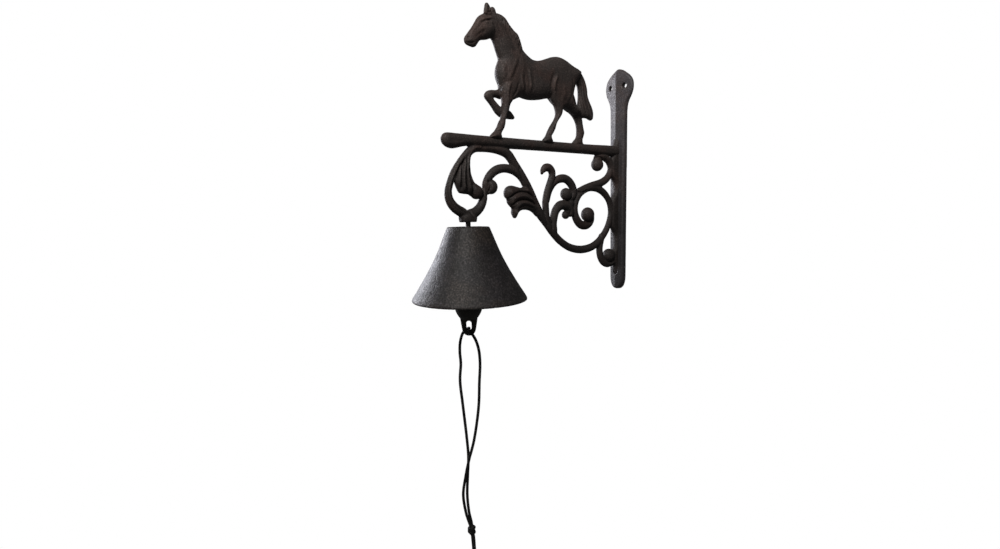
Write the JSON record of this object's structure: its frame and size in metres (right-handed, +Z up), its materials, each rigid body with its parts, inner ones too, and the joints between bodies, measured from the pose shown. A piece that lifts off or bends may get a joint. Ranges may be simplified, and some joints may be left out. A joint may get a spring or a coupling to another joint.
{
  "type": "wall mounted bell",
  "caption": "Cast iron scroll bracket with a walking horse on its arm, carrying a hanging bell with a clapper and a knotted pull cord.",
  "frame": {"origin": "centre of the wall plate's flat back face, in the middle of its height", "axes": "+Z up, +Y into the wall, so the arm reaches out along -Y; the bracket lies in the plane X = 0"},
  "size_m": [0.11, 0.2675, 0.5595],
  "materials": {
    "bracket_iron": "dark brown rust-toned cast surface, dull",
    "bell_iron": "black grainy cast surface, slight sheen",
    "clapper_iron": "black cast surface",
    "dark_steel": "dark steel, dull",
    "black_cord": "waxed black cord"
  },
  "bodies": {
    "bracket": {"wall_plate": "bracket_iron", "arm_bar": "bracket_iron", "horse_figure": "bracket_iron", "hanger_ring": "bracket_iron", "hanger_leaf": "bracket_iron", "main_scroll": "bracket_iron", "small_arch": "bracket_iron", "acanthus_leaf": "bracket_iron", "tendril_hook": "bracket_iron", "tendril_arch": "bracket_iron", "leaf_stem": "bracket_iron", "upper_curl": "bracket_iron", "lower_curl": "bracket_iron", "hanger_eye_bolt": "dark_steel", "bell_washer": "dark_steel", "bell_nut": "dark_steel"},
    "bell": {"bell": "bell_iron"},
    "clapper_link": {"clapper_link": "dark_steel"},
    "clapper": {"clapper": "clapper_iron"},
    "pull_cord": {"cord_near_strand": "black_cord", "cord_far_strand": "black_cord", "cord_knot": "black_cord", "cord_near_tail": "black_cord", "cord_far_tail": "black_cord"}
  },
  "joints": [
    {"name": "bell_swivel", "type": "hinge", "parent": "bracket", "child": "bell", "pos_m": [0, -0.2125, -0.0501], "axis": [0, 0, 1], "continuous": true},
    {"name": "link_swing", "type": "hinge", "parent": "bracket", "child": "clapper_link", "pos_m": [-0.00084, -0.21362, -0.0634], "axis": [0.8, -0.6, 0], "range_deg": [-31, 31]},
    {"name": "clapper_swing", "type": "hinge", "parent": "clapper_link", "child": "clapper", "pos_m": [-0.00084, -0.21362, -0.0774], "axis": [0.6, 0.8, 0], "range_deg": [-14, 14]},
    {"name": "cord_swing", "type": "hinge", "parent": "clapper", "child": "pull_cord", "pos_m": [-0.00084, -0.21362, -0.1432], "axis": [0.8, -0.6, 0], "range_deg": [-40, 40]}
  ]
}
